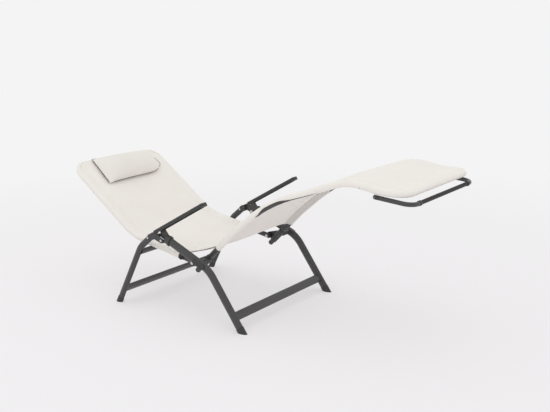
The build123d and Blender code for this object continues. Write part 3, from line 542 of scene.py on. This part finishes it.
def sling_mesh():
    """The whole sling as one sheet: top cloth, and sleeves round the tubes, sewn under it."""
    points, faces, uvs = [], [], []
    places = stations()

    def put(s, y, h, u, v):
        points.append(cloth_point(s, y, h))
        uvs.append((u, v))
        return len(points) - 1

    rows = []
    for s in places:
        half = corner_half(s) - inset(s)
        row = []
        for y in top_columns(half):
            height = cloth_ride - sag(s, y) - seam_dent(y, half)
            row.append(put(s, y, height, s, y))
        rows.append(row)
    for upper, lower in zip(rows, rows[1:]):
        for k in range(len(upper) - 1):
            faces.append((upper[k], upper[k + 1], lower[k + 1], lower[k]))

    strip_reach = sqrt((sleeve_reach - strip_start_in) ** 2 + strip_rise**2)

    def low_profile(b, drop):
        """Offset outwards and height of the sleeve's lower half, b from its outermost line.

        The seam, at its inner end, is drop below the tube's top.
        """
        if b < tube * sleeve_bend:
            turn = pi / 2 + b / tube
            return (tube * sin(turn), tube * cos(turn))
        share = min((b - tube * sleeve_bend) / strip_reach, 1)
        start = (tube * sin(pi / 2 + sleeve_bend), tube * cos(pi / 2 + sleeve_bend))
        end = (-sleeve_reach, tube - seam_below - drop)
        return (start[0] + (end[0] - start[0]) * share, start[1] + (end[1] - start[1]) * share)

    low_total = tube * sleeve_bend + strip_reach

    def wrap(s, y, out_s, out_y, edges):
        """Indices of one sleeve profile, from the top of the tube to the seam under the cloth."""
        profile = []
        upper, lower = edges
        drop = sag(s - sleeve_reach * out_s, y - sleeve_reach * out_y)
        for k in range(upper_parts + 1):
            turn = (pi / 2 + upper / tube) * k / upper_parts
            profile.append((tube * sin(turn), tube * cos(turn), turn * tube))
        for k in range(lower_parts + 1):
            b = lower + (low_total - lower) * k / lower_parts
            profile.append((*low_profile(b, drop), tube * pi / 2 + b))
        return [
            put(s + out * out_s, y + out * out_y, h, s + run * out_s, y + run * out_y)
            for out, h, run in profile
        ]

    def join(first, second):
        """Faces between two neighbouring sleeve profiles, but none from upper to lower cloth."""
        for k in range(len(first) - 1):
            if k != upper_parts:
                faces.append((first[k], first[k + 1], second[k + 1], second[k]))

    for side in (1, -1):
        last = None
        for s in places:
            if s < head_radius:
                lean = acos(min((head_radius - s) / head_radius, 1))
                out_s, out_y = -cos(lean), side * sin(lean)
            elif s > cloth_length - foot_radius:
                lean = acos(min((s - cloth_length + foot_radius) / foot_radius, 1))
                out_s, out_y = cos(lean), side * sin(lean)
            else:
                out_s, out_y = 0, side
            if seat_end < s < rest_start:
                last = None
                continue
            loop = wrap(s, side * corner_half(s), out_s, out_y, sleeve_edges(s))
            if last:
                join(last, loop)
            last = loop
    closed = (edge_line, edge_line)
    for s, out_s, reach in ((0, -1, head_radius), (cloth_length, 1, foot_radius)):
        columns = top_columns(rail_side - reach)
        loops = [wrap(s, y, out_s, 0, closed) for y in columns]
        for first, second in zip(loops, loops[1:]):
            join(first, second)

    mesh = bpy.data.meshes.new("sling")
    mesh.from_pydata(points, [], faces)
    layer = mesh.uv_layers.new(name="cloth")
    for loop in mesh.loops:
        layer.data[loop.index].uv = uvs[loop.vertex_index]
    return mesh


def tidy_sheet(obj, thickness):
    """Close the sheet's joins, turn its faces up and give it its thickness."""
    only(obj)
    bpy.ops.object.mode_set(mode="EDIT")
    bpy.ops.mesh.select_all(action="SELECT")
    bpy.ops.mesh.remove_doubles(threshold=weld_distance)
    bpy.ops.mesh.dissolve_degenerate(threshold=sliver)
    bpy.ops.mesh.delete_loose()
    bpy.ops.mesh.select_all(action="SELECT")
    bpy.ops.mesh.normals_make_consistent(inside=False)
    bpy.ops.object.mode_set(mode="OBJECT")
    flat_area = sum(face.area for face in obj.data.polygons)
    solid = obj.modifiers.new("thickness", "SOLIDIFY")
    solid.thickness = thickness
    solid.offset = 0
    bpy.ops.object.modifier_apply(modifier="thickness")
    bpy.ops.object.shade_smooth()
    return flat_area


sling = bpy.data.objects.new("sling", sling_mesh())
scene.collection.objects.link(sling)
sling_area = tidy_sheet(sling, cloth_thickness)
sling.data.materials.append(sling_cloth)


def edge_tube(name, lines, radius):
    """Round binding sewn along open lines of points."""
    curve = bpy.data.curves.new(name, "CURVE")
    curve.dimensions = "3D"
    curve.bevel_depth = radius
    curve.bevel_resolution = 2
    curve.use_fill_caps = True
    for line in lines:
        spline = curve.splines.new("POLY")
        spline.points.add(len(line) - 1)
        for point, place in zip(spline.points, line):
            point.co = (*place, 1)
    tube_object = bpy.data.objects.new(name, curve)
    scene.collection.objects.link(tube_object)
    only(tube_object)
    bpy.ops.object.convert(target="MESH")
    bpy.ops.object.shade_smooth()
    tube_object.data.materials.append(binding)
    return tube_object


def sleeve_mouth(s, side):
    """The line round the open end of a sleeve, from the top cloth to the seam below it."""
    line = []
    for turn in np.radians(range(0, mouth_turn + 1, mouth_step)):
        line.append(cloth_point(s, side * (rail_side + tube * sin(turn)), tube * cos(turn)))
    line.append(cloth_point(s, side * (rail_side - sleeve_reach), tube - mouth_seam_below))
    return line


edge_lines = []
for side in (1, -1):
    free = []
    for s in np.linspace(seat_end, rest_start, free_edge_points):
        inside = min(max(s, seat_end + free_edge_beside), rest_start - free_edge_beside)
        half = rail_side - inset(inside)
        free.append(cloth_point(s, side * half, cloth_ride - sag(s, half)))
    edge_lines.append(free)
    edge_lines.append(sleeve_mouth(seat_end, side))
    edge_lines.append(sleeve_mouth(rest_start, side))
sling_binding = edge_tube("sling_binding", edge_lines, binding_radius)


def sling_screws(name, x):
    """The two small screws that hold the sleeves to the rails, on their lower outer side at x."""
    s = float(np.interp(x, cloth_line[:, 0], cloth_run))
    turn = radians(screw_turn)
    heads = []
    for side in (1, -1):
        seat = Vector(cloth_point(s, side * (rail_side + tube * sin(turn)), tube * cos(turn)))
        tip = Vector(cloth_point(s, side * (rail_side + 2 * tube * sin(turn)), 2 * tube * cos(turn)))
        lean = (tip - seat).to_track_quat("Z", "Y").to_euler()
        deselect()
        bpy.ops.mesh.primitive_uv_sphere_add(
            segments=24, ring_count=12, radius=screw_radius, location=seat, rotation=lean
        )
        head = bpy.context.object
        head.scale = (1, 1, screw_flatness)
        bpy.ops.object.transform_apply(location=True, rotation=True, scale=True)
        bpy.ops.object.shade_smooth()
        heads.append(head)
    only(heads[0])
    heads[1].select_set(True)
    bpy.ops.object.join()
    screws = heads[0]
    screws.name = name
    screws.data.materials.append(steel)
    return screws


back_screws = sling_screws("back_screws", back_screw_x)
rest_screws = sling_screws("rest_screws", rest_screw_x)


# The pillow: a runs down the back and b across to the far side, each from -1 to 1
pillow_from_head = 0.072
pillow_off_middle = 0.013
pillow_above_rail = 0.0132
pillow_half = (0.074, 0.182)
pillow_waist = 0.006
far_end_narrower, far_end_shorter = 0.004, 0.009
far_lower_round, far_upper_round = (0.30, 0.19), (0.14, 0.08)
near_end_out, near_end_skew = 0.0080, 0.0063
pillow_rim = 0.006
pillow_far_rise = 0.007
lift_above_middle = 0.5
pillow_crown = 0.043
crown_power = 0.55
far_crown_powers, near_crown_powers = (2.4, 0.95), (3.2, 0.8)
seam_half_height = 0.0015
shell_parting = 0.02
seam_share = 0.999
pillow_bottom = 0.0018
bottom_fill = 3
pillow_columns, pillow_rows = 44, 96
pillow_weld = 0.0003
swell_cap, swell_pressure, swell_frames = 0.005, 4, 20
pucker_height = 0.0009
across_puckers, down_puckers = 46, 30
pillow_clearance = 0.0003
piping_radius = 0.0011
piping_from, piping_to = 8, 397
piping_above_seam = 0.001
piping_out = (1.006, 1.003)
far_piping_out = 0.005
tuck_in = (0.03, 0.020)
tuck_down = 0.0035
tuck_far_slope, tuck_far_from = 4, 2
tuck_upper_slope, tuck_upper_from = 3, 0.4
pillow_middle = walk(head_corner, -back_slope, pillow_from_head)
pillow_seat = walk(pillow_middle, 90 - back_slope, pillow_above_rail)
pillow_down = Vector((cos(radians(back_slope)), 0, -sin(radians(back_slope))))
pillow_up = Vector((sin(radians(back_slope)), 0, cos(radians(back_slope))))
pillow_place = Matrix.Translation((pillow_seat[0], pillow_off_middle, pillow_seat[1])) @ Matrix(
    (
        (pillow_down.x, 0, pillow_up.x, 0),
        (pillow_down.y, 1, pillow_up.y, 0),
        (pillow_down.z, 0, pillow_up.z, 0),
        (0, 0, 0, 1),
    )
)


def share_of(value):
    """The value, held between 0 and 1."""
    return max(0, min(1, value))


def pillow_outline(a, b):
    """The place (a, b) of the pillow's plan, in metres from its middle."""
    far = max(b, 0)
    near = max(-b, 0)
    round_x, round_y = far_lower_round if a > 0 else far_upper_round
    half = pillow_half[0] - pillow_waist * (1 - b * b) - far_end_narrower * far
    x = a * half * (1 - round_x * a * a * far**6)
    y = b * (pillow_half[1] - far_end_shorter * far) * (1 - round_y * abs(a) ** 3 * far**2)
    y += near * (near_end_out - near_end_skew * a)
    return x, y


def pillow_lift(a, b):
    """How far, from 0 to 1, the seam is lifted: at the far end, away from its upper corner."""
    return max(b, 0) ** 3 * share_of(lift_above_middle + a)


def pillow_seam(a, b):
    """The height of the pillow's seam, which rises to the far end."""
    return pillow_rim + pillow_far_rise * pillow_lift(a, b)


def crown_share(a, b):
    """The height of the pillow's upper cloth over its seam, from 0 at the seam to 1."""
    bend, power = far_crown_powers if b > 0 else near_crown_powers
    return max(1 - a * a, 0) ** crown_power * max(1 - abs(b) ** bend, 0) ** power


def pillow_shell():
    """The pillow before it is filled: two cloths sewn at the rim, the lower one flat."""
    deselect()
    bpy.ops.mesh.primitive_grid_add(
        x_subdivisions=pillow_columns, y_subdivisions=pillow_rows, size=2
    )
    shell = bpy.context.object
    shell.name = "head_pillow_cloth"
    solid = shell.modifiers.new("fill", "SOLIDIFY")
    solid.thickness = shell_parting
    solid.offset = 0
    bpy.ops.object.modifier_apply(modifier="fill")
    seam = shell.vertex_groups.new(name="seam")
    for vertex in shell.data.vertices:
        a, b, top = vertex.co.x, vertex.co.y, vertex.co.z > 0
        a, b = max(-1, min(1, a)), max(-1, min(1, b))
        if max(abs(a), abs(b)) > seam_share:
            seam.add([vertex.index], 1, "REPLACE")
        x, y = pillow_outline(a, b)
        crown = crown_share(a, b)
        rim_height = pillow_seam(a, b)
        if top:
            z = rim_height + seam_half_height
            z += (pillow_crown + pillow_rim - rim_height) * crown
        else:
            z = rim_height - seam_half_height
            z -= (rim_height - pillow_bottom) * min(crown * bottom_fill, 1)
        vertex.co = (x, y, z)
    return shell


def swell(obj, cap, pressure, frames):
    """Fill a padded piece by cloth simulation.

    Its seam stays where it is, and no other point moves further than cap.
    """
    start = np.array([vertex.co for vertex in obj.data.vertices])
    only(obj)
    cloth = obj.modifiers.new("filling", "CLOTH")
    cloth.settings.quality = 5
    cloth.settings.mass = 0.3
    cloth.settings.tension_stiffness = 12
    cloth.settings.compression_stiffness = 12
    cloth.settings.bending_stiffness = 0.3
    cloth.settings.use_pressure = True
    cloth.settings.uniform_pressure_force = pressure
    cloth.settings.vertex_group_mass = "seam"
    cloth.settings.effector_weights.gravity = 0
    cloth.point_cache.frame_start = 1
    cloth.point_cache.frame_end = frames
    for number in range(1, frames + 1):
        scene.frame_set(number)
    bpy.ops.object.modifier_apply(modifier="filling")
    scene.frame_set(1)
    now = np.array([vertex.co for vertex in obj.data.vertices])
    move = now - start
    length = np.linalg.norm(move, axis=1)
    move *= (np.minimum(length, cap) / np.maximum(length, 1e-9))[:, None]
    for vertex, place in zip(obj.data.vertices, start + move):
        vertex.co = place


pillow = pillow_shell()
only(pillow)
bpy.ops.object.mode_set(mode="EDIT")
bpy.ops.mesh.select_all(action="SELECT")
bpy.ops.mesh.remove_doubles(threshold=pillow_weld)
bpy.ops.mesh.normals_make_consistent(inside=False)
bpy.ops.object.mode_set(mode="OBJECT")
swell(pillow, swell_cap, swell_pressure, swell_frames)
for vertex in pillow.data.vertices:
    a = vertex.co.x / pillow_half[0]
    b = vertex.co.y / pillow_half[1]
    pucker = pucker_height * sin(b * across_puckers) * (abs(a) ** 6)
    pucker += pucker_height * sin(a * down_puckers) * (abs(b) ** 8)
    vertex.co.z = max(vertex.co.z + pucker, pillow_clearance)
finer = pillow.modifiers.new("finer", "SUBSURF")
finer.levels = finer.render_levels = 1
only(pillow)
bpy.ops.object.modifier_apply(modifier="finer")
bpy.ops.object.shade_smooth()
layer = pillow.data.uv_layers.get("UVMap") or pillow.data.uv_layers.new(name="cloth")
layer.name = "cloth"
for loop in pillow.data.loops:
    place = pillow.data.vertices[loop.vertex_index].co
    layer.data[loop.index].uv = (place.x, place.y)
pillow.data.transform(pillow_place)
pillow.data.materials.append(pillow_cloth)

# The piping runs round the seam from the near lower corner, 100 points to a side, leaves that
# corner open, and is tucked under the cloth at the far upper corner
rim = []
for k in range(piping_from, piping_to):
    turn = k / 100 % 4
    side_number, share = int(turn), 2 * (turn % 1) - 1
    a, b = ((1, share), (-share, 1), (-1, -share), (share, -1))[side_number]
    x, y = pillow_outline(a, b)
    tuck = share_of(tuck_far_slope * b - tuck_far_from)
    tuck *= share_of(-tuck_upper_slope * a - tuck_upper_from)
    x *= piping_out[0] - tuck_in[0] * tuck
    y *= piping_out[1] + far_piping_out * pillow_lift(a, b) - tuck_in[1] * tuck
    height = pillow_seam(a, b) + piping_above_seam - tuck_down * tuck
    rim.append(tuple(pillow_place @ Vector((x, y, height))))
pillow_piping = edge_tube("pillow_piping", [rim], piping_radius)


# Studio
paper_white = (0.905, 0.905, 0.905, 1)
floor_white = (0.875, 0.85, 0.875, 1)
floor_size = 14
fade_from, fade_to, fade_least = 1.1, 3.6, 0.45
sky_strength = 0.92
deselect()
bpy.ops.mesh.primitive_plane_add(size=floor_size, location=(0, 0, 0))
floor = bpy.context.object
floor.name = "studio_floor"


def floor_finish():
    """Pale floor that keeps the shadow near the lounger and fades into the backdrop far from it."""
    material = bpy.data.materials.new("studio_floor")
    material.use_nodes = True
    nodes, links = material.node_tree.nodes, material.node_tree.links
    nodes.clear()
    out = nodes.new("ShaderNodeOutputMaterial")
    matt = nodes.new("ShaderNodeBsdfDiffuse")
    matt.inputs["Color"].default_value = floor_white
    paper = nodes.new("ShaderNodeEmission")
    paper.inputs["Color"].default_value = paper_white
    paper.inputs["Strength"].default_value = 1
    place = nodes.new("ShaderNodeTexCoord")
    length = nodes.new("ShaderNodeVectorMath")
    length.operation = "LENGTH"
    fade = nodes.new("ShaderNodeMapRange")
    fade.interpolation_type = "SMOOTHSTEP"
    fade.inputs["From Min"].default_value = fade_from
    fade.inputs["From Max"].default_value = fade_to
    fade.inputs["To Min"].default_value = fade_least
    mix = nodes.new("ShaderNodeMixShader")
    links.new(place.outputs["Object"], length.inputs[0])
    links.new(length.outputs["Value"], fade.inputs["Value"])
    links.new(fade.outputs["Result"], mix.inputs["Fac"])
    links.new(matt.outputs["BSDF"], mix.inputs[1])
    links.new(paper.outputs["Emission"], mix.inputs[2])
    links.new(mix.outputs["Shader"], out.inputs["Surface"])
    return material


floor.data.materials.append(floor_finish())

# The sky lights the scene, and camera, glossy and transmission rays see the paper backdrop
world = bpy.data.worlds.new("studio")
scene.world = world
world.use_nodes = True
sky = world.node_tree
sky.nodes.clear()
sky_out = sky.nodes.new("ShaderNodeOutputWorld")
sky_mix = sky.nodes.new("ShaderNodeMixShader")
sky_light = sky.nodes.new("ShaderNodeBackground")
sky_light.inputs["Color"].default_value = (1, 1, 1, 1)
sky_light.inputs["Strength"].default_value = sky_strength
sky_paper = sky.nodes.new("ShaderNodeBackground")
sky_paper.inputs["Color"].default_value = paper_white
sky_paper.inputs["Strength"].default_value = 1
sky_path = sky.nodes.new("ShaderNodeLightPath")
seen = sky_path.outputs["Is Camera Ray"]
for kind in ("Is Glossy Ray", "Is Transmission Ray"):
    either = sky.nodes.new("ShaderNodeMath")
    either.operation = "MAXIMUM"
    sky.links.new(seen, either.inputs[0])
    sky.links.new(sky_path.outputs[kind], either.inputs[1])
    seen = either.outputs["Value"]
sky.links.new(seen, sky_mix.inputs["Fac"])
sky.links.new(sky_light.outputs["Background"], sky_mix.inputs[1])
sky.links.new(sky_paper.outputs["Background"], sky_mix.inputs[2])
sky.links.new(sky_mix.outputs["Shader"], sky_out.inputs["Surface"])


def lamp(name, place, aim, size, power):
    """A soft square lamp that points at aim."""
    light = bpy.data.lights.new(name, "AREA")
    light.size = size
    light.energy = power
    holder = bpy.data.objects.new(name, light)
    holder.location = place
    holder.rotation_euler = (Vector(aim) - Vector(place)).to_track_quat("-Z", "Y").to_euler()
    scene.collection.objects.link(holder)


lamp("key_lamp", place=(0.2, -0.8, 3.4), aim=(0.05, 0.0, 0.3), size=3.0, power=9)
lamp("side_lamp", place=(-1.2, -3.4, 1.6), aim=(0.0, 0.0, 0.4), size=2.5, power=3)

# The camera as fitted to the photo: how far it looks down and how far it is turned, in degrees
camera_place = (2.0294, -2.7901, 1.2200)
camera_down = 13.054
camera_turn = 34.937
camera_data = bpy.data.cameras.new("camera")
camera_data.lens = 57.1
camera_data.sensor_width = 36
camera = bpy.data.objects.new("camera", camera_data)
camera.location = camera_place
camera.rotation_euler = (radians(90 - camera_down), 0, radians(camera_turn))
scene.collection.objects.link(camera)
scene.camera = camera
scene.view_settings.view_transform = "Standard"

# What each piece rides on
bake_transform(sling)
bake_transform(sling_binding)
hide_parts("sling_back", "sling_leg_rest")
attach(back_screws, "back_seat")
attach(rest_screws, "leg_rest")
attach(pillow, "pillow")
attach(pillow_piping, "pillow")
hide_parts("head_pillow")
